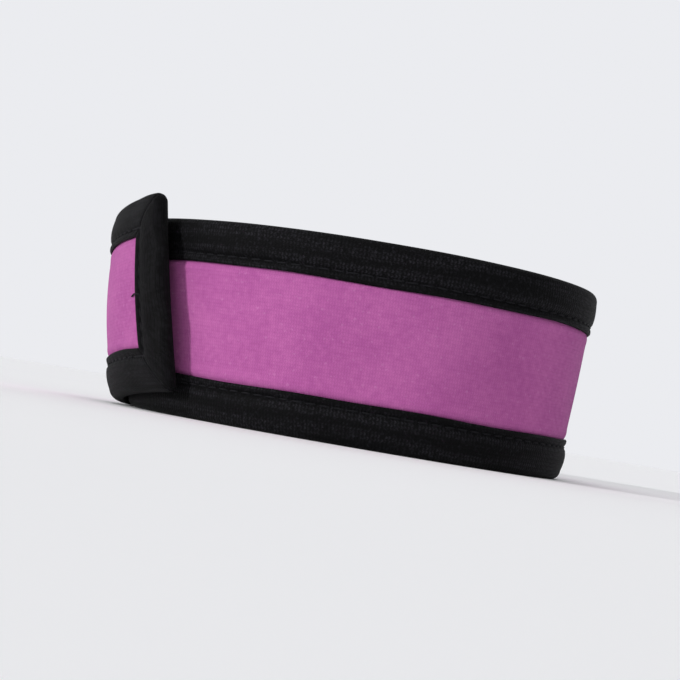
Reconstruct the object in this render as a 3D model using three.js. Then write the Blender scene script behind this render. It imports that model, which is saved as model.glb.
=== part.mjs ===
// A bicep band: one padded strip closed into an oval ring, its four edges bound in folded tape.
// Millimetres, +Z up. The lower edge stands on z = 0, and the oval's long axis runs along X.
// The strip is drawn flat and then wrapped. On the flat strip, d is the distance from the outer end,
// v the height above the lower edge, and n the distance outwards from the middle of the thickness.
import * as THREE from "three";

// The oval that the middle of the strip follows, halfway up. The ring narrows towards the lower edge.
const OVAL_HALF_LONG = 57.4;
const OVAL_HALF_SHORT = 50.9;
const RING_TAPER = THREE.MathUtils.degToRad(5.5);
const RING_LEAN = THREE.MathUtils.degToRad(2.5);
const RING_LEAN_HEADING = THREE.MathUtils.degToRad(-142); // the way the ring leans, from +X

// The strip, and how it laps over itself
const STRIP_HEIGHT = 46.5;
const OVERLAP = 64;
const OUTER_END_ARC = 101; // clockwise along the oval, from the +X end of its long axis to the outer end
const LAYER_PITCH = 4.6; // from the inner layer's middle to the outer layer's
const STEP_DOWN = 38; // length in which the outer layer comes down to the oval
const BULGE = 2.2; // the patch holds the outer layer's middle off the inner layer, the tapes pull it in
// The outer end was pressed down askew: it climbs and leans back over this length.
const ASKEW_LENGTH = 58;
const CLIMB_TOP = -12; // the climb would level off this far past the outer end
const CLIMB_HEIGHT = 5.6;
const END_LEAN = THREE.MathUtils.degToRad(9);

// Thicknesses, and the clearance between neighbouring pieces
const FOAM_THICKNESS = 3;
const FOAM_EDGE_THICKNESS = 2; // squeezed under the tape
const FOAM_SHOULDER = 1; // length in which the squeezed edge swells to full thickness
const TAPE_THICKNESS = 0.8;
const TAPE_FOLD_RADIUS = 1.2;
const CLEARANCE = 0.3;

// Width of tape that shows on each face
const LONG_TAPE_WIDTH = 10;
const END_TAPE_WIDTH = 10;
const MITRE_RUN = 18; // length in which a long tape turns from a square cut to its mitre
const MITRE_GAP = 0.45;

// The closure patch on the underside of the outer end
const PATCH_FROM = 14;
const PATCH_TO = 49;
const PATCH_BOTTOM = 14;
const PATCH_TOP = 32;
const PATCH_CORNER = 3;

const STEP = 5; // longest facet along the strip
const LONG_TAPE_FACETS = 3; // facets across a tape's face, so that a mitre follows the bend
const END_TAPE_FACETS = 3;
const END_TAPE_STATIONS = 8; // along an end tape, so that it follows the bulge
const FOAM_FACETS = 4; // across the foam between its shoulders
const FOLD_FACETS = 2; // round each corner of a folded tape

const oval = new THREE.EllipseCurve(0, 0, OVAL_HALF_LONG, OVAL_HALF_SHORT, 0, -2 * Math.PI, true);
oval.arcLengthDivisions = 720;
const PERIMETER = oval.getLength();
const LENGTH = PERIMETER + OVERLAP;

const TAPE_OUTSIDE = FOAM_EDGE_THICKNESS / 2 + CLEARANCE + TAPE_THICKNESS;
const TAPE_INSIDE = TAPE_OUTSIDE - TAPE_THICKNESS;
const FOAM_EDGE = TAPE_THICKNESS + CLEARANCE; // depth of the foam's edge inside the fold

// How far the strip at d lies outside the oval: the outer layer lies on the inner one.
function layerLift(d) {
  return LAYER_PITCH * (1 - THREE.MathUtils.smoothstep(d, OVERLAP, OVERLAP + STEP_DOWN));
}

// How far the outer layer's middle stands out beyond its edges.
function bulge(d, v) {
  const fromMiddle = (2 * v) / STRIP_HEIGHT - 1;
  return ((BULGE * layerLift(d)) / LAYER_PITCH) * (1 - fromMiddle ** 2);
}

// Where a point of the flat strip lies once the strip is wrapped.
function wrap(d, v, n) {
  const climb = CLIMB_HEIGHT * (1 - THREE.MathUtils.smoothstep(d, CLIMB_TOP, ASKEW_LENGTH));
  const lean = END_LEAN * Math.max(0, 1 - d / ASKEW_LENGTH);
  const fromMiddle = v - STRIP_HEIGHT / 2;
  const along = OUTER_END_ARC + d + fromMiddle * Math.sin(lean);
  const share = THREE.MathUtils.euclideanModulo(along / PERIMETER, 1);
  const point = oval.getPointAt(share);
  const clockwise = oval.getTangentAt(share);
  const aboveMiddle = climb + fromMiddle * Math.cos(lean);
  const outwards = n + layerLift(d) + bulge(d, v) + aboveMiddle * Math.tan(RING_TAPER);
  const leaning = aboveMiddle * Math.tan(RING_LEAN);
  return new THREE.Vector3(
    point.x - clockwise.y * outwards + leaning * Math.cos(RING_LEAN_HEADING),
    point.y + clockwise.x * outwards + leaning * Math.sin(RING_LEAN_HEADING),
    STRIP_HEIGHT / 2 + aboveMiddle,
  );
}

// A closed body with the section of a wall. The wall is a row of pairs, one point on each of its faces.
// place() carries the section's points to each station, and both ends are capped from pair to pair.
function loft(wall, stations, place) {
  const ring = [...wall.map((pair) => pair[0]), ...wall.map((pair) => pair[1]).reverse()];
  if (THREE.ShapeUtils.isClockWise(ring)) {
    ring.reverse();
  }
  const size = ring.length;
  const points = stations.flatMap((station) => ring.flatMap((p) => place(p, station).toArray()));
  const faces = [];
  for (let s = 0; s < stations.length - 1; s++) {
    for (let i = 0; i < size; i++) {
      const here = s * size + i;
      const next = s * size + ((i + 1) % size);
      faces.push(here, next, next + size, here, next + size, here + size);
    }
  }
  const last = (stations.length - 1) * size;
  for (let i = 0; i < wall.length - 1; i++) {
    const across = size - 1 - i;
    faces.push(i, across - 1, i + 1, i, across, across - 1);
    faces.push(last + i, last + i + 1, last + across - 1, last + i, last + across - 1, last + across);
  }
  const geometry = new THREE.BufferGeometry();
  geometry.setAttribute("position", new THREE.Float32BufferAttribute(points, 3));
  geometry.setIndex(faces);
  geometry.computeVertexNormals();
  return geometry;
}

// Even stations from one length to another, no further apart than the longest facet.
function stationsBetween(from, to, longest = STEP) {
  const count = Math.ceil((to - from) / longest);
  return Array.from({ length: count + 1 }, (_, i) => from + ((to - from) * i) / count);
}

// The wall of a folded tape: x across the strip's thickness, y the depth from the fold.
function foldedTape(width, facets) {
  const foldCentre = TAPE_OUTSIDE - TAPE_FOLD_RADIUS;
  const face = stationsBetween(TAPE_FOLD_RADIUS, width, width / facets).slice(1).reverse();
  const half = face.map((depth) => [
    new THREE.Vector2(TAPE_OUTSIDE, depth),
    new THREE.Vector2(TAPE_INSIDE, depth),
  ]);
  for (let step = 0; step <= FOLD_FACETS; step++) {
    const turn = ((step / FOLD_FACETS) * Math.PI) / 2;
    const onFold = (radius) =>
      new THREE.Vector2(foldCentre + radius * Math.cos(turn), TAPE_FOLD_RADIUS - radius * Math.sin(turn));
    half.push([onFold(TAPE_FOLD_RADIUS), onFold(TAPE_FOLD_RADIUS - TAPE_THICKNESS)]);
  }
  const otherFace = half.map((pair) => pair.map((p) => new THREE.Vector2(-p.x, p.y))).reverse();
  return [...half, ...otherFace];
}

// The same pairs, with each point moved by a function.
function mapWall(wall, move) {
  return wall.map((pair) => pair.map(move));
}

// The strip's foam and fabric: full thickness between the tapes, squeezed under them.
function neopreneBand() {
  const edge = FOAM_EDGE_THICKNESS / 2;
  const swell = (FOAM_THICKNESS - FOAM_EDGE_THICKNESS) / 2;
  const low = LONG_TAPE_WIDTH + FOAM_SHOULDER;
  const high = STRIP_HEIGHT - low;
  const upwards = [
    FOAM_EDGE,
    LONG_TAPE_WIDTH,
    ...stationsBetween(low, high, (high - low) / FOAM_FACETS),
    STRIP_HEIGHT - LONG_TAPE_WIDTH,
    STRIP_HEIGHT - FOAM_EDGE,
  ];
  const wall = upwards.map((v) => [new THREE.Vector2(1, v), new THREE.Vector2(-1, v)]);
  const shoulder = END_TAPE_WIDTH + FOAM_SHOULDER;
  const stations = [
    ...stationsBetween(FOAM_EDGE, END_TAPE_WIDTH),
    ...stationsBetween(shoulder, LENGTH - shoulder),
    ...stationsBetween(LENGTH - END_TAPE_WIDTH, LENGTH - FOAM_EDGE),
  ];
  return loft(wall, stations, (p, d) => {
    const fromEnd = Math.min(d, LENGTH - d);
    const fromSide = Math.min(p.y, STRIP_HEIGHT - p.y);
    const free = fromEnd >= shoulder && fromSide >= low;
    return wrap(d, p.y, p.x * (free ? edge + swell : edge));
  });
}

// A tape along a long edge. Its ends are mitred to meet the end tapes at the strip's corners.
function longBinding(heightAt) {
  const slant = END_TAPE_WIDTH / LONG_TAPE_WIDTH;
  const tape = foldedTape(LONG_TAPE_WIDTH, LONG_TAPE_FACETS);
  const wall = mapWall(tape, (p) => new THREE.Vector2(p.x, heightAt(p.y)));
  return loft(wall, stationsBetween(0, LENGTH), (p, d) => {
    const depth = Math.min(p.y, STRIP_HEIGHT - p.y);
    const nearOuter = 1 - THREE.MathUtils.smoothstep(d, 0, MITRE_RUN);
    const nearInner = THREE.MathUtils.smoothstep(d, LENGTH - MITRE_RUN, LENGTH);
    return wrap(d + (nearOuter - nearInner) * depth * slant, p.y, p.x);
  });
}

// A tape over a short end, between the mitres of the long ones.
function endBinding(distanceAt) {
  const slant = LONG_TAPE_WIDTH / END_TAPE_WIDTH;
  const tape = foldedTape(END_TAPE_WIDTH, END_TAPE_FACETS);
  const wall = mapWall(tape, (p) => new THREE.Vector2(distanceAt(p.y), p.x));
  return loft(wall, stationsBetween(0, 1, 1 / END_TAPE_STATIONS), (p, share) => {
    const mitre = Math.min(p.x, LENGTH - p.x) * slant + MITRE_GAP;
    return wrap(p.x, THREE.MathUtils.lerp(mitre, STRIP_HEIGHT - mitre, share), p.y);
  });
}

// The closure patch, a plate with clipped corners. It fills the gap between the two layers.
function hookPatch() {
  const outer = -FOAM_THICKNESS / 2 - CLEARANCE;
  const inner = -LAYER_PITCH + FOAM_THICKNESS / 2 + CLEARANCE;
  const heights = stationsBetween(PATCH_BOTTOM, PATCH_TOP);
  const wall = heights.map((v) => [new THREE.Vector2(outer, v), new THREE.Vector2(inner, v)]);
  const stations = [
    PATCH_FROM,
    ...stationsBetween(PATCH_FROM + PATCH_CORNER, PATCH_TO - PATCH_CORNER),
    PATCH_TO,
  ];
  const middle = (PATCH_BOTTOM + PATCH_TOP) / 2;
  const reach = PATCH_TOP - middle;
  return loft(wall, stations, (p, d) => {
    const clip = d === PATCH_FROM || d === PATCH_TO ? PATCH_CORNER : 0;
    const v = middle + ((p.y - middle) * (reach - clip)) / reach;
    return wrap(d, v, p.x === outer ? outer : inner - bulge(d, v));
  });
}

const pinkNeoprene = { color: "#ae659d", roughness: 0.85, metalness: 0 };
const blackTape = { color: "#18171a", roughness: 0.9, metalness: 0 };
const blackHook = { color: "#1d1d1f", roughness: 0.8, metalness: 0 };

function piece(name, geometry, finish) {
  const mesh = new THREE.Mesh(geometry, new THREE.MeshStandardMaterial(finish));
  mesh.name = name;
  return mesh;
}

const band = new THREE.Group();
band.name = "bicep_band";
band.add(
  piece("neoprene_band", neopreneBand(), pinkNeoprene),
  piece("top_binding", longBinding((depth) => STRIP_HEIGHT - depth), blackTape),
  piece("bottom_binding", longBinding((depth) => depth), blackTape),
  piece("outer_end_binding", endBinding((depth) => depth), blackTape),
  piece("inner_end_binding", endBinding((depth) => LENGTH - depth), blackTape),
  piece("hook_patch", hookPatch(), blackHook),
);

// The origin is below the middle of the band's own box, at the height of its lower edge.
const middle = new THREE.Box3().setFromObject(band, true).getCenter(new THREE.Vector3());
band.position.set(-middle.x, -middle.y, 0);

export default band;
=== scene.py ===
# A bicep band: one padded strip of neoprene, its edges bound in folded tape, wrapped into an oval
# ring and closed on itself. Metres, +Z up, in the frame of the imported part.
# Each piece is drawn flat and then wrapped onto the ring's oval. On the flat strip, x is d, the
# distance from the outer end, y is v, the height above the lower edge, and z is n, the distance
# outwards from the middle of the strip's thickness.
import math

import bpy
import numpy as np
from mathutils import Matrix, Vector


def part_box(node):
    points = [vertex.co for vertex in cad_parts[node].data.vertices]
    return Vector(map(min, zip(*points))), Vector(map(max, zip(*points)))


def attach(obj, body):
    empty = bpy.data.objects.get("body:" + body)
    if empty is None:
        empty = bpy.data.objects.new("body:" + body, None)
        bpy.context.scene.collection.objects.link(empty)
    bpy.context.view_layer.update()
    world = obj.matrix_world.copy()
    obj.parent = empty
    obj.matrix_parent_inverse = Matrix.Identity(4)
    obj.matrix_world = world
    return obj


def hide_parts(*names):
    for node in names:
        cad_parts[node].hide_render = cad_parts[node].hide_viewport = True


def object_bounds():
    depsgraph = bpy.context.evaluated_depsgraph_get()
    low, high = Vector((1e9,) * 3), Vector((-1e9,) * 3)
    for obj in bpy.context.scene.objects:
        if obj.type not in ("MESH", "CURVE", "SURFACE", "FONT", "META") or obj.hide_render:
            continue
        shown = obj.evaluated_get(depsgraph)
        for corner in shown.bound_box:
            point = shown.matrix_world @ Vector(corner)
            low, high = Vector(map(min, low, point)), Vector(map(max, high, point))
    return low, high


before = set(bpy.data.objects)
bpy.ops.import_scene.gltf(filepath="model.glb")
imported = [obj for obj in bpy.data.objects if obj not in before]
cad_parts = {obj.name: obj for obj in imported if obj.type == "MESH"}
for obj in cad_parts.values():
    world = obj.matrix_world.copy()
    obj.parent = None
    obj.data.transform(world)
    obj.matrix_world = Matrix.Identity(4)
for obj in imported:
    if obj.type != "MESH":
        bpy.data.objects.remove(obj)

cad_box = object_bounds()

MM = 0.001

# The oval that the middle of the strip follows halfway up, and the ring's taper and lean
OVAL_HALF_LONG = 57.4 * MM
OVAL_HALF_SHORT = 50.9 * MM
RING_TAPER = math.radians(5.5)
RING_LEAN = math.radians(2.5)
RING_LEAN_HEADING = math.radians(-142)

# The strip, and how it laps over itself
STRIP_HEIGHT = 46.5 * MM
OVERLAP = 64 * MM
OUTER_END_ARC = 101 * MM
LAYER_PITCH = 4.6 * MM
STEP_DOWN = 38 * MM
BULGE = 2.2 * MM
ASKEW_LENGTH = 58 * MM
CLIMB_TOP = -12 * MM
CLIMB_HEIGHT = 5.6 * MM
END_LEAN = math.radians(9)

# The outer end reaches past the patch. It stands off a little more, and its own tape keeps it
# straighter.
LOOSE_LENGTH = 14 * MM
END_LIFT = 1.5 * MM
END_STIFFNESS = 0.7  # share of the bulge that is gone at the end

# Gentle waves of the worn band, the same in both layers: waves round the oval, height and phase
WAVES = ((5, 0.18 * MM, 0.4), (9, 0.1 * MM, 2.1), (14, 0.06 * MM, 4.4))

# Thicknesses
FOAM_HALF = 1.5 * MM
SQUEEZED_HALF = 1.0 * MM
FOAM_EDGE = 1.1 * MM  # depth of the foam's edge inside the fold
SWELL_LENGTH = 1.4 * MM  # length in which the foam swells to full thickness beside a tape
TAPE_HALF = 2.05 * MM  # from the middle of the strip to the tape's outer face
TAPE_THICKNESS = 0.75 * MM
TAPE_CLEARANCE = 0.05 * MM  # between a tape and the squeezed foam

# The tape's section
FOLD_NOSE = 2.3 * MM  # depth over which a fold is round
FOLD_SQUARENESS = 2.2  # at 2 the fold would be a plain ellipse
FOLD_STEPS = 9
FULLNESS = 0.34 * MM  # how far a tape's outer face puffs out between its fold and its stitches
RIM_ROUNDING = 0.3 * MM  # how far a tape's free edge is rounded off
RIM_WIDTH = 0.5 * MM
FACE_SPACING = 0.7 * MM  # between the points of a tape's face
RIM_SPACING = 0.16 * MM  # the same from just before its stitches to its free edge
FINE_BEFORE = 1 * MM

# Widths of tape on each face, and the corners
LONG_TAPE_WIDTH = 10 * MM
END_TAPE_WIDTH = 10 * MM
MITRE_RUN = 18 * MM
MITRE_GAP = 0.05 * MM
CREASE_SHARE = 0.05  # share of the thickness that is gone in a mitre's crease
CREASE_REACH = 0.7 * MM
CORNER_RADIUS = 1.8 * MM

# Unevenness of the long tapes
PLUMPER_SHARE = 0.25  # share by which the fullness comes and goes
PLUMPER_LENGTH = 13 * MM  # along a tape, for a radian of that
WAVER_SHARE = 0.008  # share of its width by which a tape wavers
WAVERS = ((5.1 * MM, 1.0, 1), (11.3 * MM, 1.4, 2))  # length of a radian, weight, times the phase
UPPER_PHASE = 0.6
LOWER_PHASE = 3.7
COVER_RUN = 8 * MM  # length in which a tape flattens before the outer layer covers it

# The outer end's fold, where handling has squashed or plumped it. Each row: share of the thickness,
# depth and height of the place, and its reach in depth and in height
CRUMPLE = (
    (-0.22, 1.0 * MM, 16.5 * MM, 3.2 * MM, 3.2 * MM),
    (0.09, 2.0 * MM, 24.5 * MM, 3.0 * MM, 3.0 * MM),
    (-0.20, 1.0 * MM, 33.5 * MM, 3.2 * MM, 2.8 * MM),
    (0.13, 1.5 * MM, 40.0 * MM, 3.0 * MM, 2.6 * MM),
)
SPREAD = 1.9 * MM  # how far the fold would move out if it were squashed quite flat

# Relief of the foam's faces
TUCK_DEPTH = 0.09 * MM  # how far the stitches pull the foam in beside a tape
TUCK_REACH = 1.1 * MM
ROLL_HEIGHT = 0.12 * MM  # the soft roll beside a tape
ROLL_PLACE = 1.6 * MM
ROLL_REACH = 1.0 * MM
DIMPLE_DEPTH = 0.10 * MM
DIMPLE_LENGTH = 9.7 * MM  # along the strip, for a radian
DIMPLE_WIDTH = 6.1 * MM  # across the strip, for a radian
DIMPLE_DRIFT = 31 * MM  # length in which the dimples' rows shift by a radian
DIMPLE_PHASE = 1.3

# Spacing of the points across the strip: hidden under a tape, on the shoulder beside it, and open
HIDDEN_SPACING = 2 * MM
SHOULDER_SPACING = 0.25 * MM
OPEN_SPACING = 1 * MM
SHOULDER_UNDER = 0.8 * MM  # the shoulder starts this far under a tape
SHOULDER_BESIDE = 3 * MM  # and ends this far beside it

# The closure patch
PATCH_FROM = 14 * MM
PATCH_TO = 49 * MM
PATCH_BOTTOM = 14 * MM
PATCH_TOP = 32 * MM
PATCH_CORNER = 3 * MM
PATCH_CLEARANCE = 0.3 * MM
PATCH_STEP = 0.5 * MM

# Stitches
STITCH_INSET = 1.9 * MM  # from a tape's free edge to its row of stitches
STITCH_PITCH = 3.2 * MM
STITCH_LENGTH = 2.5 * MM
THREAD_WIDTH = 0.42 * MM
THREAD_PROUD = 0.05 * MM  # the thread's middle above the pressed tape
STITCH_WANDER = math.radians(4)
STITCH_SEED = 7
STITCH_PRESS = 0.42 * MM  # how deep the stitches press the tape in
PRESS_REACH = 0.6 * MM
PUCKER_SHARE = 0.07  # share of the thickness that is pulled in at a needle hole
PUCKER_REACH = 0.9 * MM

# The back-tacks
TACK_LENGTH = 1.01 * STITCH_PITCH  # just over a pitch, so that each row has two stitches
TACK_BEFORE = 0.4  # share of it that lies before the corner
TACK_SPACING = 0.8 * THREAD_WIDTH
TACK_PROUD = 0.1 * MM

# The loose thread end: height where it leaves the stitches, and each point of its path, as the
# distance past the tape's free edge, the height above that place, and the distance outwards
THREAD_END_HEIGHT = 22.5 * MM
THREAD_END_RADIUS = 0.45 * THREAD_WIDTH
THREAD_END_PATH = (
    (-STITCH_INSET, 0.0, 1.75 * MM),
    (-0.6 * MM, 0.1 * MM, 2.15 * MM),
    (0.4 * MM, 0.1 * MM, 1.95 * MM),
    (1.0 * MM, -0.1 * MM, 1.8 * MM),
    (1.5 * MM, -0.4 * MM, 1.85 * MM),
)

STEP = 0.8 * MM  # between stations along the strip, a quarter of a stitch
TINY = 1e-9  # guards against rounding and against dividing by nothing


def smoothstep(x, low, high):
    share = np.clip((x - low) / (high - low), 0, 1)
    return share * share * (3 - 2 * share)


def bell(x, reach):
    """1 at the middle, fading out softly on both sides."""
    return np.exp(-((x / reach) ** 2))


def even(low, high, longest):
    """Even steps from low to high, none longer than longest."""
    return np.linspace(low, high, math.ceil((high - low) / longest - TINY) + 1)


def oval_perimeter(steps=7200):
    turn = np.linspace(0, 2 * math.pi, steps + 1)
    points = np.stack([OVAL_HALF_LONG * np.cos(turn), OVAL_HALF_SHORT * np.sin(turn)])
    return float(np.linalg.norm(np.diff(points), axis=0).sum())


LENGTH = oval_perimeter() + OVERLAP


def add(tree, kind, inputs=None, **settings):
    """Adds a node, with its settings, and sets its inputs or links them to another node's outputs."""
    node = tree.nodes.new(kind)
    for name, value in settings.items():
        setattr(node, name, value)
    for socket, value in (inputs or {}).items():
        if isinstance(value, bpy.types.Node):
            value = value.outputs[0]
        if isinstance(value, bpy.types.NodeSocket):
            tree.links.new(value, node.inputs[socket])
        else:
            node.inputs[socket].default_value = value
    return node


# What the wrapping tree is given: lengths in metres, slopes as rise over run
WRAPPING = {
    "Oval half length": OVAL_HALF_LONG,
    "Oval half width": OVAL_HALF_SHORT,
    "Taper slope": math.tan(RING_TAPER),
    "Ring axis": (
        math.tan(RING_LEAN) * math.cos(RING_LEAN_HEADING),
        math.tan(RING_LEAN) * math.sin(RING_LEAN_HEADING),
        1.0,
    ),
    "Strip height": STRIP_HEIGHT,
    "Overlap": OVERLAP,
    "Step down": STEP_DOWN,
    "Layer pitch": LAYER_PITCH,
    "Bulge": BULGE,
    "Outer end": OUTER_END_ARC,
    "Askew length": ASKEW_LENGTH,
    "Climb top": CLIMB_TOP,
    "Climb height": CLIMB_HEIGHT,
    "End lean": END_LEAN,
    "Loose length": LOOSE_LENGTH,
    "End lift": END_LIFT,
    "End stiffness": END_STIFFNESS,
    "Oval centre": (0.0, 0.0, 0.0),
}
STITCHING = {
    "Stitch pitch": STITCH_PITCH,
    "Stitch length": STITCH_LENGTH,
    "Thread width": THREAD_WIDTH,
    "Wander": STITCH_WANDER,
}


def geometry_tree(name, sizes):
    """A new geometry tree with a named input for each size, and its group input node."""
    tree = bpy.data.node_groups.new(name, "GeometryNodeTree")
    tree.interface.new_socket("Geometry", in_out="INPUT", socket_type="NodeSocketGeometry")
    for size, value in sizes.items():
        kind = "NodeSocketFloat" if isinstance(value, float) else "NodeSocketVector"
        tree.interface.new_socket(size, in_out="INPUT", socket_type=kind)
    tree.interface.new_socket("Material", in_out="INPUT", socket_type="NodeSocketMaterial")
    tree.interface.new_socket("Geometry", in_out="OUTPUT", socket_type="NodeSocketGeometry")
    return tree, add(tree, "NodeGroupInput").outputs


def close_tree(tree, geometry, material):
    """Ends a tree in real geometry with its material."""
    real = add(tree, "GeometryNodeRealizeInstances", {"Geometry": geometry})
    dressed = add(tree, "GeometryNodeSetMaterial", {"Geometry": real, "Material": material})
    add(tree, "NodeGroupOutput", {"Geometry": dressed})
    return tree


def wrapping_tree():
    """Carries flat geometry onto the oval. The outer layer lies over the inner one, and its end is
    askew."""
    tree, given = geometry_tree("wrap_onto_oval", WRAPPING)
    flat = add(tree, "ShaderNodeSeparateXYZ", {0: add(tree, "GeometryNodeInputPosition")})
    d, v, n = flat.outputs

    # The outer layer stands a layer's pitch off the oval, and its middle a little more.
    landed = add(tree, "ShaderNodeMath", {0: given["Overlap"], 1: given["Step down"]}, operation="ADD")
    lifted = add(
        tree,
        "ShaderNodeMapRange",
        {"Value": d, "From Min": given["Overlap"], "From Max": landed, "To Min": 1.0, "To Max": 0.0},
        interpolation_type="SMOOTHSTEP",
    )
    half_height = add(tree, "ShaderNodeMath", {0: given["Strip height"], 1: 0.5}, operation="MULTIPLY")
    from_middle = add(tree, "ShaderNodeMath", {0: v, 1: half_height}, operation="SUBTRACT")
    share = add(tree, "ShaderNodeMath", {0: from_middle, 1: half_height}, operation="DIVIDE")
    squared = add(tree, "ShaderNodeMath", {0: share, 1: share}, operation="MULTIPLY")
    arched = add(tree, "ShaderNodeMath", {0: 1.0, 1: squared}, operation="SUBTRACT")
    loose = add(
        tree,
        "ShaderNodeMapRange",
        {"Value": d, "From Min": 0.0, "From Max": given["Loose length"], "To Min": 1.0, "To Max": 0.0},
        interpolation_type="SMOOTHSTEP",
    )
    stiff = add(tree, "ShaderNodeMath", {0: loose, 1: given["End stiffness"]}, operation="MULTIPLY")
    supple = add(tree, "ShaderNodeMath", {0: 1.0, 1: stiff}, operation="SUBTRACT")
    bulge = add(tree, "ShaderNodeMath", {0: supple, 1: given["Bulge"]}, operation="MULTIPLY")
    pitch = add(
        tree,
        "ShaderNodeMath",
        {0: loose, 1: given["End lift"], 2: given["Layer pitch"]},
        operation="MULTIPLY_ADD",
    )
    stand = add(tree, "ShaderNodeMath", {0: arched, 1: bulge, 2: pitch}, operation="MULTIPLY_ADD")
    off_oval = add(tree, "ShaderNodeMath", {0: lifted, 1: stand, 2: n}, operation="MULTIPLY_ADD")

    # The outer end climbs and leans back.
    climb = add(
        tree,
        "ShaderNodeMapRange",
        {
            "Value": d,
            "From Min": given["Climb top"],
            "From Max": given["Askew length"],
            "To Min": given["Climb height"],
            "To Max": 0.0,
        },
        interpolation_type="SMOOTHSTEP",
    )
    lean = add(
        tree,
        "ShaderNodeMapRange",
        {
            "Value": d,
            "From Min": 0.0,
            "From Max": given["Askew length"],
            "To Min": given["End lean"],
            "To Max": 0.0,
        },
    )
    sine = add(tree, "ShaderNodeMath", {0: lean}, operation="SINE")
    cosine = add(tree, "ShaderNodeMath", {0: lean}, operation="COSINE")
    above = add(tree, "ShaderNodeMath", {0: from_middle, 1: cosine, 2: climb}, operation="MULTIPLY_ADD")
    back = add(tree, "ShaderNodeMath", {0: from_middle, 1: sine, 2: d}, operation="MULTIPLY_ADD")

    # The oval is walked clockwise, seen from above, so its half width is negative.
    clockwise = add(tree, "ShaderNodeMath", {0: given["Oval half width"], 1: -1.0}, operation="MULTIPLY")
    scale = add(tree, "ShaderNodeCombineXYZ", {0: given["Oval half length"], 1: clockwise, 2: 1.0})
    circle = add(tree, "GeometryNodeCurvePrimitiveCircle", {"Resolution": 1440, "Radius": 1.0})
    oval = add(tree, "GeometryNodeTransform", {"Geometry": circle, "Scale": scale})
    perimeter = add(tree, "GeometryNodeCurveLength", {"Curve": oval})
    along = add(tree, "ShaderNodeMath", {0: back, 1: given["Outer end"]}, operation="ADD")
    place = add(tree, "ShaderNodeMath", {0: along, 1: perimeter}, operation="FLOORED_MODULO")
    on_oval = add(tree, "GeometryNodeSampleCurve", {"Curves": oval, "Length": place}, mode="LENGTH")
    tangent = on_oval.outputs["Tangent"]
    outwards = add(
        tree, "ShaderNodeVectorMath", {0: (0.0, 0.0, 1.0), 1: tangent}, operation="CROSS_PRODUCT"
    )

    turn = add(tree, "ShaderNodeMath", {0: place, 1: perimeter}, operation="DIVIDE")
    for count, height, phase in WAVES:
        angle = add(
            tree, "ShaderNodeMath", {0: turn, 1: 2 * math.pi * count, 2: phase}, operation="MULTIPLY_ADD"
        )
        wave = add(tree, "ShaderNodeMath", {0: angle}, operation="SINE")
        off_oval = add(
            tree, "ShaderNodeMath", {0: wave, 1: height, 2: off_oval}, operation="MULTIPLY_ADD"
        )
    reach = add(
        tree,
        "ShaderNodeMath",
        {0: above, 1: given["Taper slope"], 2: off_oval},
        operation="MULTIPLY_ADD",
    )
    stood_off = add(tree, "ShaderNodeVectorMath", {0: outwards, "Scale": reach}, operation="SCALE")
    risen = add(tree, "ShaderNodeVectorMath", {0: given["Ring axis"], "Scale": above}, operation="SCALE")
    middle = add(tree, "ShaderNodeCombineXYZ", {2: half_height})
    centre = add(tree, "ShaderNodeVectorMath", {0: given["Oval centre"], 1: middle}, operation="ADD")
    point = on_oval.outputs["Position"]
    for part in (stood_off, risen, centre):
        point = add(tree, "ShaderNodeVectorMath", {0: point, 1: part}, operation="ADD")

    wrapped = add(tree, "GeometryNodeSetPosition", {"Geometry": given["Geometry"], "Position": point})
    # Walking clockwise mirrors the drawing, so its faces are turned back.
    turned = add(tree, "GeometryNodeFlipFaces", {"Mesh": wrapped})
    return close_tree(tree, turned, given["Material"])


def stitching_tree():
    """Lays one stitch at each pitch along rows drawn as edges."""
    tree, given = geometry_tree("lockstitch", STITCHING)
    rows = add(tree, "GeometryNodeMeshToCurve", {"Mesh": given["Geometry"]})
    marks = add(
        tree,
        "GeometryNodeResampleCurve",
        {"Curve": rows, "Length": given["Stitch pitch"]},
        mode="LENGTH",
    )
    half_length = add(tree, "ShaderNodeMath", {0: given["Stitch length"], 1: 0.5}, operation="MULTIPLY")
    half_width = add(tree, "ShaderNodeMath", {0: given["Thread width"], 1: 0.5}, operation="MULTIPLY")
    size = add(tree, "ShaderNodeCombineXYZ", {0: half_length, 1: half_width, 2: half_width})
    bead = add(tree, "GeometryNodeMeshUVSphere", {"Segments": 12, "Rings": 7, "Radius": 1.0})
    thread = add(tree, "GeometryNodeTransform", {"Geometry": bead, "Scale": size})
    heading = add(
        tree,
        "FunctionNodeAlignRotationToVector",
        {"Vector": add(tree, "GeometryNodeInputTangent")},
        axis="X",
    )
    least = add(tree, "ShaderNodeMath", {0: given["Wander"], 1: -1.0}, operation="MULTIPLY")
    wander = add(
        tree,
        "FunctionNodeRandomValue",
        {"Min": least, "Max": given["Wander"], "Seed": STITCH_SEED},
        data_type="FLOAT",
    )
    skew = add(
        tree,
        "FunctionNodeAxisAngleToRotation",
        {"Axis": (0.0, 0.0, 1.0), "Angle": wander.outputs["Value"]},
    )
    turn = add(
        tree,
        "FunctionNodeRotateRotation",
        {"Rotation": heading, "Rotate By": skew},
        rotation_space="LOCAL",
    )
    laid = add(
        tree,
        "GeometryNodeInstanceOnPoints",
        {"Points": marks, "Instance": thread, "Rotation": turn},
    )
    return close_tree(tree, laid, given["Material"])


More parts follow.
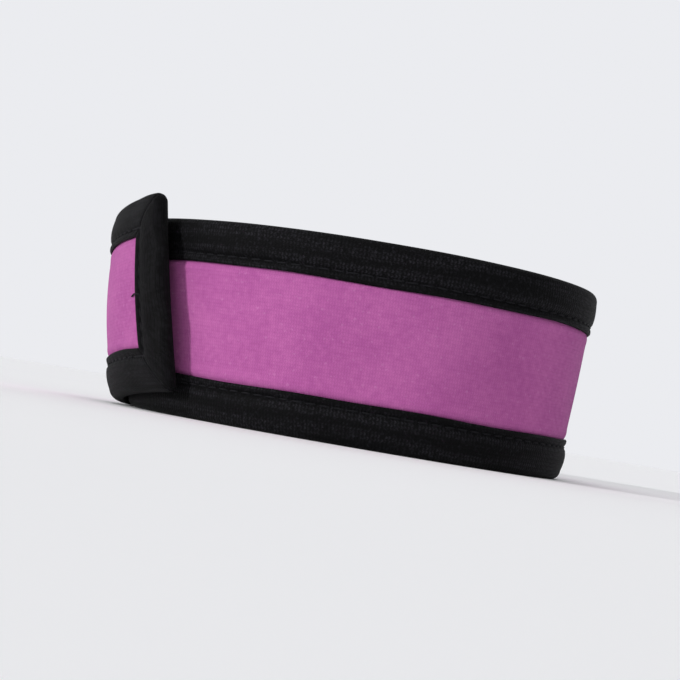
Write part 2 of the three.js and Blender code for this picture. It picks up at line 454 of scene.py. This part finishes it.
def bake(piece, tree, values, finish):
    """Runs a tree on a piece with these values and keeps the plain mesh that comes out."""
    modifier = piece.modifiers.new(tree.name, "NODES")
    given = {**values, "Material": finish}
    modifier.node_group = tree
    for item in tree.interface.items_tree:
        if item.in_out == "INPUT" and item.name in given:
            modifier[item.identifier] = given[item.name]
    graph = bpy.context.evaluated_depsgraph_get()
    made = bpy.data.meshes.new_from_object(
        piece.evaluated_get(graph), preserve_all_data_layers=True, depsgraph=graph
    )
    piece.modifiers.clear()
    piece.data = made
    piece.data.shade_smooth()
    return piece


def new_piece(name, points, faces=(), edges=()):
    mesh = bpy.data.meshes.new(name)
    mesh.from_pydata(points, edges, faces)
    piece = bpy.data.objects.new(name, mesh)
    bpy.context.scene.collection.objects.link(piece)
    return piece


def loft(name, wall, stations, place):
    """A closed body, still flat. wall is a row of pairs, one point on each face of a section.
    place() gives d, v and n of all the section's points at all the stations. The ends are capped
    pair by pair."""
    pairs = len(wall)
    ring = np.concatenate([wall[:, 0], wall[::-1, 1]])
    size = len(ring)
    points = np.stack(np.broadcast_arrays(*place(ring, stations[:, None])), axis=-1)
    start = np.arange(len(stations) - 1)[:, None] * size
    here = start + np.arange(size)
    after = start + (np.arange(size) + 1) % size
    quads = np.stack([here, after, after + size, here + size], axis=-1).reshape(-1, 4)
    first = np.arange(pairs - 1)
    across = size - 1 - first
    cap = np.stack([first, across, across - 1, first + 1], axis=-1)
    last = cap[:, ::-1] + (len(stations) - 1) * size
    piece = new_piece(name, points.reshape(-1, 3).tolist(), np.concatenate([quads, cap, last]).tolist())

    # The pattern's coordinates are metres along the strip and metres across the wall.
    outer = wall[:, 0]
    developed = np.concatenate([[0], np.linalg.norm(np.diff(outer, axis=0), axis=1).cumsum()])
    width = np.concatenate([developed, developed[::-1]])
    along = np.broadcast_to(stations[:, None], points.shape[:2])
    drawn = np.stack([along, np.broadcast_to(width, points.shape[:2])], axis=-1).reshape(-1, 2)
    corners = np.zeros(len(piece.data.loops), np.int32)
    piece.data.loops.foreach_get("vertex_index", corners)
    layer = piece.data.uv_layers.new(name="flat")
    layer.data.foreach_set("uv", drawn[corners].astype(np.float32).ravel())
    return piece


def rounded_corner(d, v):
    """The same place, with the strip's four square corners made round."""
    from_end = np.minimum(d, LENGTH - d)
    from_side = np.minimum(v, STRIP_HEIGHT - v)
    a = np.maximum(CORNER_RADIUS - from_end, 0)
    b = np.maximum(CORNER_RADIUS - from_side, 0)
    pull = 1 - np.maximum(a, b) / np.maximum(np.hypot(a, b), TINY)
    d_in = np.where(d < LENGTH / 2, a * pull, -a * pull)
    v_in = np.where(v < STRIP_HEIGHT / 2, b * pull, -b * pull)
    return d + d_in, v + v_in


def pucker(along, first):
    """From 0 at the middle of a stitch to 1 at the needle hole between two stitches."""
    return (1 - np.cos(2 * math.pi * (along - first) / STITCH_PITCH)) / 2


def belly(depth, width):
    """A tape's fullness at a depth: none at the round of the fold nor at the stitches, and all of it
    halfway between them."""
    stitch = width - STITCH_INSET
    return np.sin(math.pi * np.clip((depth - FOLD_NOSE) / (stitch - FOLD_NOSE), 0, 1))


def tape_wall(width):
    """A folded tape's section: x is the depth from the fold, y the distance from the strip's middle."""
    stitch = width - STITCH_INSET
    fine_from = stitch - FINE_BEFORE
    face = np.unique(
        np.concatenate([even(FOLD_NOSE, fine_from, FACE_SPACING), even(fine_from, width, RIM_SPACING)])
    )[::-1]
    pressed = STITCH_PRESS * bell(face - stitch, PRESS_REACH)
    rounded = RIM_ROUNDING * smoothstep(face, width - RIM_WIDTH, width) ** 2
    outside = TAPE_HALF - pressed - rounded
    inside = np.maximum(TAPE_HALF - pressed - TAPE_THICKNESS, SQUEEZED_HALF + TAPE_CLEARANCE)

    turn = np.linspace(0, math.pi / 2, FOLD_STEPS + 1)[1:]
    high = np.cos(turn) ** (2 / FOLD_SQUARENESS)
    deep = 1 - np.sin(turn) ** (2 / FOLD_SQUARENESS)
    inner_deep = TAPE_THICKNESS + (FOLD_NOSE - TAPE_THICKNESS) * deep
    outer = np.stack([np.append(face, FOLD_NOSE * deep), np.append(outside, TAPE_HALF * high)], 1)
    inner = np.stack(
        [np.append(face, inner_deep), np.append(inside, (TAPE_HALF - TAPE_THICKNESS) * high)], 1
    )
    half = np.stack([outer, inner], axis=1)
    other = half[-2::-1] * (1, -1)
    return np.concatenate([half, other])


def dressed_tape(ring, along, first, width, fullness):
    """The section puffed out on its outer face, and pulled in at each needle hole."""
    depth, n = ring[:, 0], ring[:, 1]
    near = bell(depth - (width - STITCH_INSET), PUCKER_REACH)
    puffed = n + fullness * belly(depth, width) * (n > 0)
    return depth, puffed * (1 - PUCKER_SHARE * near * pucker(along, first))


def mitre_crease(from_end):
    """Share of the thickness that is left this far from a tape's mitred end."""
    return 1 - CREASE_SHARE * bell(from_end, CREASE_REACH)


def long_tape(name, height_at, phase):
    """A tape along a long edge. It wavers a little, and lies flat where the outer layer covers it."""
    slant = END_TAPE_WIDTH / LONG_TAPE_WIDTH
    first = (LONG_TAPE_WIDTH - STITCH_INSET) * slant
    covered_from = LENGTH - OVERLAP

    def place(ring, d):
        bare = 1 - smoothstep(d, covered_from - COVER_RUN, covered_from)
        plumper = 1 + PLUMPER_SHARE * np.sin(d / PLUMPER_LENGTH + phase)
        depth, n = dressed_tape(ring, d, first, LONG_TAPE_WIDTH, FULLNESS * bare * plumper)
        near_outer = 1 - smoothstep(d, 0, MITRE_RUN)
        near_inner = smoothstep(d, LENGTH - MITRE_RUN, LENGTH)
        sheared = d + (near_outer - near_inner) * depth * slant
        waver = sum(weight * np.sin(d / length + times * phase) for length, weight, times in WAVERS)
        straight = np.maximum(near_outer, near_inner)
        wavered = depth * (1 + WAVER_SHARE * waver * (1 - straight))
        d_round, v_round = rounded_corner(sheared, height_at(wavered) + 0 * d)
        return d_round, v_round, n * mitre_crease(np.minimum(d, LENGTH - d))

    return loft(name, tape_wall(LONG_TAPE_WIDTH), even(0, LENGTH, STEP), place)


def lump(depth, v, at_depth, at_height, across, along):
    """A soft round hump, 1 at its middle."""
    return bell(depth - at_depth, across) * bell(v - at_height, along)


def end_tape(name, distance_at, fullness, crumple):
    """A tape over a short end, from mitre to mitre, with its fold squashed as crumple says."""
    slant = LONG_TAPE_WIDTH / END_TAPE_WIDTH
    first = (END_TAPE_WIDTH - STITCH_INSET) * slant

    def place(ring, share):
        mitre = ring[:, 0] * slant + MITRE_GAP
        v = mitre + share * (STRIP_HEIGHT - 2 * mitre)
        depth, n = dressed_tape(ring, v, first, END_TAPE_WIDTH, fullness)
        crease = mitre_crease(np.minimum(v - mitre, STRIP_HEIGHT - mitre - v))
        squash = sum(amount * lump(depth, v, *where) for amount, *where in crumple)
        d_round, v_round = rounded_corner(distance_at(depth + SPREAD * squash) + 0 * share, v)
        return d_round, v_round, n * crease * (1 + squash)

    return loft(name, tape_wall(END_TAPE_WIDTH), even(0, 1, STEP / STRIP_HEIGHT), place)


def flat_wall(heights, outer, inner):
    """A section with two straight faces, these distances outwards from the strip's middle."""
    return np.stack([np.stack([heights, n * np.ones_like(heights)], 1) for n in (outer, inner)], axis=1)


def padded_strip():
    """Foam between two faces of jersey. It is full between the tapes, squeezed under them, and pulled
    in at the stitches."""
    hidden_to = LONG_TAPE_WIDTH - SHOULDER_UNDER
    open_from = LONG_TAPE_WIDTH + SHOULDER_BESIDE
    hidden = even(FOAM_EDGE, hidden_to, HIDDEN_SPACING)
    shoulder = even(hidden_to, open_from, SHOULDER_SPACING)
    middle = even(open_from, STRIP_HEIGHT - open_from, OPEN_SPACING)
    lower = np.concatenate([hidden[:-1], shoulder[:-1]])
    heights = np.concatenate([lower, middle, (STRIP_HEIGHT - lower)[::-1]])
    first = (LONG_TAPE_WIDTH - STITCH_INSET) * END_TAPE_WIDTH / LONG_TAPE_WIDTH

    def place(ring, d):
        v, side = ring[:, 0], ring[:, 1]
        from_side = np.minimum(v, STRIP_HEIGHT - v) - LONG_TAPE_WIDTH
        from_end = np.minimum(d, LENGTH - d) - END_TAPE_WIDTH
        free = np.minimum(from_side, from_end + 0 * v)
        bare = free > 0
        swell = np.sqrt(1 - (1 - np.clip(free / SWELL_LENGTH, 0, 1)) ** 2)
        fading = np.exp(-np.maximum(from_side, 0) / TUCK_REACH)
        tucked = TUCK_DEPTH * pucker(d, first) * fading * bare
        dimples = np.sin(d / DIMPLE_LENGTH + DIMPLE_PHASE) * np.sin(v / DIMPLE_WIDTH + d / DIMPLE_DRIFT)
        roll = ROLL_HEIGHT * bell(free - ROLL_PLACE, ROLL_REACH)
        fuller = FOAM_HALF - SQUEEZED_HALF + roll + DIMPLE_DEPTH * dimples * bare
        half = SQUEEZED_HALF + fuller * swell - tucked
        d_round, v_round = rounded_corner(d + 0 * v, v + 0 * d)
        return d_round, v_round, side * half

    stations = even(FOAM_EDGE, LENGTH - FOAM_EDGE, STEP)
    return loft("padded_strip", flat_wall(heights, 1, -1), stations, place)


def closure_patch():
    """The hook patch, which fills the gap between the two layers."""
    outer = -FOAM_HALF - PATCH_CLEARANCE
    inner = -LAYER_PITCH + FOAM_HALF + PATCH_CLEARANCE
    middle = (PATCH_BOTTOM + PATCH_TOP) / 2
    reach = (PATCH_TOP - PATCH_BOTTOM) / 2

    def place(ring, d):
        from_end = np.minimum(d - PATCH_FROM, PATCH_TO - d)
        short = PATCH_CORNER - np.clip(from_end, 0, PATCH_CORNER)
        clipped = PATCH_CORNER - np.sqrt(np.maximum(PATCH_CORNER**2 - short**2, 0))
        v = middle + (ring[:, 0] - middle) * (reach - clipped) / reach
        arch = BULGE * (1 - (2 * v / STRIP_HEIGHT - 1) ** 2)
        return d, v, np.where(ring[:, 1] == outer, outer, inner - arch)

    wall = flat_wall(even(PATCH_BOTTOM, PATCH_TOP, OPEN_SPACING), outer, inner)
    return loft("closure_patch", wall, even(PATCH_FROM, PATCH_TO, PATCH_STEP), place)


def stitch_rows():
    """Each row of stitches as a line of two points, on both faces, and the back-tacks at the outer
    end's corners."""
    surface = TAPE_HALF - STITCH_PRESS + THREAD_PROUD
    depth_long = LONG_TAPE_WIDTH - STITCH_INSET
    depth_end = END_TAPE_WIDTH - STITCH_INSET
    rows = []
    for n in (surface, -surface):
        for v in (depth_long, STRIP_HEIGHT - depth_long):
            rows.append([(depth_end, v, n), (LENGTH - depth_end, v, n)])
        for d in (depth_end, LENGTH - depth_end):
            rows.append([(d, depth_long, n), (d, STRIP_HEIGHT - depth_long, n)])
    start = depth_end - TACK_BEFORE * TACK_LENGTH
    for v in (depth_long, STRIP_HEIGHT - depth_long):
        for turn in (-1, 0, 1):
            first = (start, v + turn * TACK_SPACING, surface + TACK_PROUD)
            rows.append([first, (start + TACK_LENGTH, v, surface)])
    return rows


def tape_stitches():
    rows = stitch_rows()
    points = [point for row in rows for point in row]
    edges = [(2 * i, 2 * i + 1) for i in range(len(rows))]
    return new_piece("tape_stitches", points, edges=edges)


def thread_end():
    """A loose end of thread that lies on the strip where the outer end's row was finished."""
    path = np.array(THREAD_END_PATH) + (END_TAPE_WIDTH, THREAD_END_HEIGHT, 0)
    curve = bpy.data.curves.new("thread_end", "CURVE")
    curve.dimensions = "3D"
    curve.bevel_depth = THREAD_END_RADIUS
    curve.bevel_resolution = 2
    curve.use_fill_caps = True
    spline = curve.splines.new("NURBS")
    spline.points.add(len(path) - 1)
    spline.points.foreach_set("co", np.column_stack([path, np.ones(len(path))]).ravel())
    spline.use_endpoint_u = True
    spline.order_u = 3
    drawn = bpy.data.objects.new("thread_path", curve)
    bpy.context.scene.collection.objects.link(drawn)
    graph = bpy.context.evaluated_depsgraph_get()
    mesh = bpy.data.meshes.new_from_object(drawn.evaluated_get(graph), depsgraph=graph)
    bpy.data.objects.remove(drawn)
    piece = bpy.data.objects.new("thread_end", mesh)
    bpy.context.scene.collection.objects.link(piece)
    return piece


def colour(code):
    """An sRGB hex colour as the linear colour that a shader takes."""
    parts = [int(code[i : i + 2], 16) / 255 for i in (1, 3, 5)]
    return (*[p / 12.92 if p <= 0.04045 else ((p + 0.055) / 1.055) ** 2.4 for p in parts], 1.0)


def new_material(name, **look):
    """A material, its tree and its Principled shader. What is the same all over is set on the shader."""
    material = bpy.data.materials.new(name)
    material.use_nodes = True
    shader = material.node_tree.nodes["Principled BSDF"]
    for socket, value in look.items():
        shader.inputs[socket.replace("_", " ")].default_value = value
    return material, material.node_tree, shader


def knit(tree, wale, course, slope):
    """Height and shade of a jersey face, which has columns of V-shaped loops. wale and course are a
    loop's width and height."""
    flat = add(tree, "ShaderNodeUVMap", uv_map="flat")
    drift = add(tree, "ShaderNodeTexNoise", {"Vector": flat, "Scale": 1 / (9 * MM), "Detail": 2.0})
    centred = add(
        tree,
        "ShaderNodeVectorMath",
        {0: drift.outputs["Color"], 1: (0.5, 0.5, 0.5)},
        operation="SUBTRACT",
    )
    strayed = add(tree, "ShaderNodeVectorMath", {0: centred, "Scale": 0.5 * wale}, operation="SCALE")
    pulled = add(tree, "ShaderNodeVectorMath", {0: flat, 1: strayed}, operation="ADD")
    loops = add(
        tree, "ShaderNodeVectorMath", {0: pulled, 1: (1 / course, 1 / wale, 1.0)}, operation="MULTIPLY"
    )
    along, across, _ = add(tree, "ShaderNodeSeparateXYZ", {0: loops}).outputs
    from_seam = add(tree, "ShaderNodeMath", {0: across, 1: 0.5}, operation="PINGPONG")
    slanted = add(tree, "ShaderNodeMath", {0: from_seam, 1: slope, 2: along}, operation="MULTIPLY_ADD")
    turn = add(tree, "ShaderNodeMath", {0: slanted, 1: 2 * math.pi}, operation="MULTIPLY")
    wave = add(tree, "ShaderNodeMath", {0: turn}, operation="SINE")
    loop = add(tree, "ShaderNodeMapRange", {"Value": wave, "From Min": -1.0, "From Max": 1.0})
    seam = add(
        tree,
        "ShaderNodeMapRange",
        {"Value": from_seam, "From Min": 0.0, "From Max": 0.16},
        interpolation_type="SMOOTHSTEP",
    )
    return flat, add(tree, "ShaderNodeMath", {0: loop, 1: seam}, operation="MULTIPLY")


def jersey_faced_neoprene():
    """Neoprene foam laminated with a dyed nylon jersey, which gives a matte, faintly fuzzy and mottled
    face. The hollows of its knit are darkened with painted shade."""
    material, tree, shader = new_material(
        "nylon jersey on neoprene",
        Roughness=0.86,
        Sheen_Weight=0.02,
        Sheen_Roughness=0.45,
        Specular_IOR_Level=0.12,
    )
    # Real loops are about 0.45 mm wide. They are drawn at 0.8 mm so that they show in the render.
    flat, loops = knit(tree, wale=0.8 * MM, course=0.62 * MM, slope=1.1)
    patches = add(tree, "ShaderNodeTexNoise", {"Vector": flat, "Scale": 1 / (14 * MM), "Detail": 3.0})
    flecks = add(tree, "ShaderNodeTexNoise", {"Vector": flat, "Scale": 1 / (1.5 * MM), "Detail": 4.0})
    mottle = add(tree, "ShaderNodeMath", {0: patches, 1: flecks}, operation="ADD")
    tone = add(tree, "ShaderNodeMapRange", {"Value": mottle, "From Min": 0.75, "From Max": 1.25})
    dyed = add(
        tree,
        "ShaderNodeMix",
        {0: tone, 6: colour("#a55392"), 7: colour("#b5629f")},
        data_type="RGBA",
    )
    # Painted shade: the colour darkens in the hollows between the loops and at the seams between their
    # columns.
    deep = add(tree, "ShaderNodeMath", {0: loops, 1: 0.24, 2: 0.76}, operation="MULTIPLY_ADD")
    shaded = add(
        tree,
        "ShaderNodeMix",
        {0: deep, 6: colour("#783969"), 7: dyed.outputs[2]},
        data_type="RGBA",
    )
    # Here and there a paler fibre end has worked loose. Real ones are finer than these of about 0.6 mm.
    fibres = add(tree, "ShaderNodeTexNoise", {"Vector": flat, "Scale": 1 / (0.9 * MM), "Detail": 0.0})
    loose = add(
        tree,
        "ShaderNodeMapRange",
        {"Value": fibres, "From Min": 0.71, "From Max": 0.8, "To Max": 0.16},
    )
    flecked = add(
        tree,
        "ShaderNodeMix",
        {0: loose, 6: shaded.outputs[2], 7: colour("#cf96c2")},
        data_type="RGBA",
    )
    tree.links.new(flecked.outputs[2], shader.inputs["Base Color"])
    nap = add(tree, "ShaderNodeTexNoise", {"Vector": flat, "Scale": 1 / (0.35 * MM), "Detail": 3.0})
    relief = add(tree, "ShaderNodeMath", {0: nap, 1: 0.5, 2: loops}, operation="MULTIPLY_ADD")
    bump = add(tree, "ShaderNodeBump", {"Strength": 0.55, "Distance": 0.06 * MM, "Height": relief})
    tree.links.new(bump.outputs[0], shader.inputs["Normal"])
    return material


def knitted_binding_tape():
    """Black polyester tape, warp-knitted and stretchy, which gives a soft matte black with fine ribs
    and paler streaks along it. Its colour has painted shade in the hollows of the knit, and the
    streaks are painted highlights and shade."""
    material, tree, shader = new_material(
        "polyester binding tape",
        Roughness=0.72,
        Sheen_Weight=0.01,
        Sheen_Roughness=0.35,
        Specular_IOR_Level=0.09,
    )
    # Real ribs are about 0.5 mm apart. They are drawn at 0.9 mm so that they show in the render.
    flat, loops = knit(tree, wale=0.9 * MM, course=0.8 * MM, slope=0.8)
    lint = add(tree, "ShaderNodeTexNoise", {"Vector": flat, "Scale": 1 / (0.9 * MM), "Detail": 4.0})
    tone = add(tree, "ShaderNodeMapRange", {"Value": lint, "From Min": 0.35, "From Max": 0.75})
    # Lint tone, darkened by painted shade in the hollows between the loops.
    lint_and_loop_shade = add(tree, "ShaderNodeMath", {0: tone, 1: loops}, operation="MULTIPLY")
    # Streaks along the tape, paler and darker, are painted highlights and painted shade that stand for
    # light along its rounded fold and puffed face. A streak is about 28 mm long and 2.2 mm wide.
    drawn_out = add(
        tree,
        "ShaderNodeVectorMath",
        {0: flat, 1: (1 / (28 * MM), 1 / (2.2 * MM), 1.0)},
        operation="MULTIPLY",
    )
    ribs = add(tree, "ShaderNodeTexNoise", {"Vector": drawn_out, "Scale": 1.0, "Detail": 2.0})
    streaks = add(
        tree,
        "ShaderNodeMapRange",
        {"Value": ribs, "From Min": 0.4, "From Max": 0.62, "To Min": 0.08, "To Max": 1.8},
        interpolation_type="SMOOTHSTEP",
    )
    streaked = add(tree, "ShaderNodeMath", {0: lint_and_loop_shade, 1: streaks}, operation="MULTIPLY")
    dyed = add(
        tree,
        "ShaderNodeMix",
        {0: streaked, 6: colour("#020203"), 7: colour("#1f1e22")},
        data_type="RGBA",
    )
    # Lint catches on the tape, which greys it in specks.
    dust = add(tree, "ShaderNodeTexNoise", {"Vector": flat, "Scale": 1 / (0.8 * MM), "Detail": 3.0})
    caught = add(
        tree,
        "ShaderNodeMapRange",
        {"Value": dust, "From Min": 0.56, "From Max": 0.8, "To Max": 0.35},
    )
    greyed = add(
        tree,
        "ShaderNodeMix",
        {0: caught, 6: dyed.outputs[2], 7: colour("#34333a")},
        data_type="RGBA",
    )
    tree.links.new(greyed.outputs[2], shader.inputs["Base Color"])
    relief = add(tree, "ShaderNodeMath", {0: lint, 1: 0.6, 2: loops}, operation="MULTIPLY_ADD")
    bump = add(tree, "ShaderNodeBump", {"Strength": 0.7, "Distance": 0.09 * MM, "Height": relief})
    tree.links.new(bump.outputs[0], shader.inputs["Normal"])
    return material


def polyester_thread():
    """Spun polyester sewing thread: black and almost dull, with the ridges of a twisted yarn."""
    material, tree, shader = new_material("polyester thread", Roughness=0.7, Specular_IOR_Level=0.15)
    place = add(tree, "ShaderNodeTexCoord")
    # The plies are drawn 0.25 mm apart.
    plies = add(
        tree,
        "ShaderNodeTexNoise",
        {"Vector": place.outputs["Object"], "Scale": 1 / (0.25 * MM), "Detail": 2.0},
    )
    # Painted shade: the colour is darker where the plies sink and lighter on their ridges, following the
    # bump.
    dyed = add(
        tree,
        "ShaderNodeMix",
        {0: plies, 6: colour("#09090b"), 7: colour("#1a1a1e")},
        data_type="RGBA",
    )
    tree.links.new(dyed.outputs[2], shader.inputs["Base Color"])
    bump = add(tree, "ShaderNodeBump", {"Strength": 0.5, "Distance": 0.05 * MM, "Height": plies})
    tree.links.new(bump.outputs[0], shader.inputs["Normal"])
    return material


def nylon_hook_tape():
    """Moulded nylon hooks in rows on a woven ground, which give a dark, bristly gloss."""
    material, tree, shader = new_material("nylon hook tape", Roughness=0.5, Specular_IOR_Level=0.4)
    flat = add(tree, "ShaderNodeUVMap", uv_map="flat")
    # Real hooks stand about 1 mm apart in each row.
    hooks = add(
        tree,
        "ShaderNodeTexVoronoi",
        {"Vector": flat, "Scale": 1 / (1 * MM), "Randomness": 0.25},
    )
    # Painted highlight and shade: the colour is lighter on the hooks and darker on the ground between
    # them, following the bump.
    dyed = add(
        tree,
        "ShaderNodeMix",
        {0: hooks.outputs["Distance"], 6: colour("#2c2c30"), 7: colour("#101012")},
        data_type="RGBA",
    )
    tree.links.new(dyed.outputs[2], shader.inputs["Base Color"])
    bump = add(
        tree,
        "ShaderNodeBump",
        {"Strength": 0.8, "Distance": 0.3 * MM, "Height": hooks.outputs["Distance"]},
        invert=True,
    )
    tree.links.new(bump.outputs[0], shader.inputs["Normal"])
    return material


# Each lamp: degrees right of the camera, degrees above the floor, degrees across as seen from the
# floor, and power
LAMPS = {
    "key": (-60, 15, 8, 1.98),
    "fill": (9, 12, 60, 0.92),
    "top": (-20, 75, 60, 1.05),
}
FLOOR_HALF = 60.0  # metres, so that the floor's far edge is the horizon
BACKDROP = 0.885  # brightness behind the object, as the camera sees it
DIM_SIDE = 0.14  # brightness of the rest of the room
FULLY_BEHIND = 0.85  # cosine of the angle from straight behind, within which it is brightest
HORIZON = 0.04  # the room is bright all round up to this sine of the height,
HORIZON_TOP = 0.22  # and fades to dim up to this one

# The photograph looks up at the band, and the floor lets the camera come this low. The roll is
# clockwise, so that the ring's axis leans to the right as in the photograph.
CAMERA_AZIMUTH = 33
CAMERA_HEIGHT = 7 * MM
CAMERA_DISTANCE = 0.42
CAMERA_ROLL = math.radians(9.7)
PHOTO_SIDE = 680
PIXELS_PER_METRE = 3900


def direction(azimuth, elevation):
    """From the object towards a camera or lamp at this azimuth and elevation, in degrees."""
    a, e = math.radians(azimuth), math.radians(elevation)
    return Vector((math.sin(a) * math.cos(e), -math.cos(a) * math.cos(e), math.sin(e)))


def floor_and_room():
    """A plain pale floor, in a room that is bright low down and behind the object, and dim round the
    camera."""
    material, tree, shader = new_material("matte paper", Roughness=0.9, Specular_IOR_Level=0.1)
    place = add(tree, "ShaderNodeTexCoord")
    grain = add(
        tree, "ShaderNodeTexNoise", {"Vector": place.outputs["Object"], "Scale": 3.0, "Detail": 2.0}
    )
    paper = add(
        tree,
        "ShaderNodeMix",
        {0: grain, 6: colour("#f6f6f8"), 7: colour("#f9f9fa")},
        data_type="RGBA",
    )
    tree.links.new(paper.outputs[2], shader.inputs["Base Color"])
    far = FLOOR_HALF
    floor = new_piece(
        "studio_floor",
        [(-far, -far, 0), (far, -far, 0), (far, far, 0), (-far, far, 0)],
        [(0, 1, 2, 3)],
    )
    floor.data.materials.append(material)

    world = bpy.data.worlds.new("studio")
    world.use_nodes = True
    tree = world.node_tree
    background = tree.nodes["Background"]
    background.inputs["Color"].default_value = colour("#f8f9fd")
    look = add(tree, "ShaderNodeTexCoord")
    behind = tuple(-direction(CAMERA_AZIMUTH, 0))
    facing = add(
        tree,
        "ShaderNodeVectorMath",
        {0: look.outputs["Generated"], 1: behind},
        operation="DOT_PRODUCT",
    )
    opposite = add(
        tree,
        "ShaderNodeMapRange",
        {
            "Value": facing.outputs["Value"],
            "From Max": FULLY_BEHIND,
            "To Min": DIM_SIDE,
            "To Max": BACKDROP,
        },
        interpolation_type="SMOOTHSTEP",
    )
    height = add(tree, "ShaderNodeSeparateXYZ", {0: look.outputs["Generated"]}).outputs["Z"]
    low_down = add(
        tree,
        "ShaderNodeMapRange",
        {
            "Value": height,
            "From Min": HORIZON,
            "From Max": HORIZON_TOP,
            "To Min": BACKDROP,
            "To Max": DIM_SIDE,
        },
        interpolation_type="SMOOTHSTEP",
    )
    strength = add(tree, "ShaderNodeMath", {0: opposite, 1: low_down}, operation="MAXIMUM")
    tree.links.new(strength.outputs[0], background.inputs["Strength"])
    bpy.context.scene.world = world


def lamps():
    for name, (right, above, across, power) in LAMPS.items():
        light = bpy.data.lights.new(name, "SUN")
        light.angle = math.radians(across)
        light.energy = power
        lamp = bpy.data.objects.new(name, light)
        towards = direction(CAMERA_AZIMUTH + right, above)
        lamp.location = towards
        lamp.rotation_euler = towards.to_track_quat("Z", "Y").to_euler()
        bpy.context.scene.collection.objects.link(lamp)


def camera(target):
    lens = bpy.data.cameras.new("camera")
    lens.sensor_width = 36
    lens.lens = lens.sensor_width * PIXELS_PER_METRE * CAMERA_DISTANCE / PHOTO_SIDE
    lens.clip_start = 1 * MM
    eye = bpy.data.objects.new("camera", lens)
    elevation = math.degrees(math.asin((CAMERA_HEIGHT - target.z) / CAMERA_DISTANCE))
    towards = direction(CAMERA_AZIMUTH, elevation)
    eye.matrix_world = (
        Matrix.Translation(target + CAMERA_DISTANCE * towards)
        @ towards.to_track_quat("Z", "Y").to_matrix().to_4x4()
        @ Matrix.Rotation(CAMERA_ROLL, 4, "Z")
    )
    bpy.context.scene.collection.objects.link(eye)
    bpy.context.scene.camera = eye


def oval_centre(strip, tree, finish):
    """Where the oval's centre lies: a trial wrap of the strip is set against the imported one."""
    trial = bpy.data.objects.new("trial", strip.data.copy())
    bpy.context.scene.collection.objects.link(trial)
    bake(trial, tree, {**WRAPPING, "End lift": 0.0, "End stiffness": 0.0}, finish)
    places = np.array([vertex.co for vertex in trial.data.vertices])
    bpy.data.objects.remove(trial)
    low, high = (np.array(corner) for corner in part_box("neoprene_band"))
    shift = (low + high) / 2 - (places.min(0) + places.max(0)) / 2
    return (float(shift[0]), float(shift[1]), 0.0)


camera((cad_box[0] + cad_box[1]) / 2)
lamps()
floor_and_room()
bpy.context.scene.view_settings.view_transform = "Standard"

neoprene = jersey_faced_neoprene()
tape = knitted_binding_tape()
thread = polyester_thread()
hooks = nylon_hook_tape()
wrapping = wrapping_tree()
stitching = stitching_tree()

strip = padded_strip()
WRAPPING["Oval centre"] = oval_centre(strip, wrapping, neoprene)

# Each piece: its finish, the record's slot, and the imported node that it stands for
PIECES = [
    (strip, neoprene, "neoprene", "neoprene_band"),
    (
        long_tape("upper_tape", lambda depth: STRIP_HEIGHT - depth, UPPER_PHASE),
        tape,
        "binding_tape",
        "top_binding",
    ),
    (
        long_tape("lower_tape", lambda depth: depth, LOWER_PHASE),
        tape,
        "binding_tape",
        "bottom_binding",
    ),
    (
        end_tape("outer_end_tape", lambda depth: depth, FULLNESS, CRUMPLE),
        tape,
        "binding_tape",
        "outer_end_binding",
    ),
    (
        end_tape("inner_end_tape", lambda depth: LENGTH - depth, 0, ()),
        tape,
        "binding_tape",
        "inner_end_binding",
    ),
    (closure_patch(), hooks, "hook_fastener", "hook_patch"),
    (bake(tape_stitches(), stitching, STITCHING, thread), thread, "binding_tape", None),
    (thread_end(), thread, "binding_tape", None),
]
for piece, finish, slot, node in PIECES:
    bake(piece, wrapping, WRAPPING, finish)
    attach(piece, "root")
    if node:
        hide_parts(node)
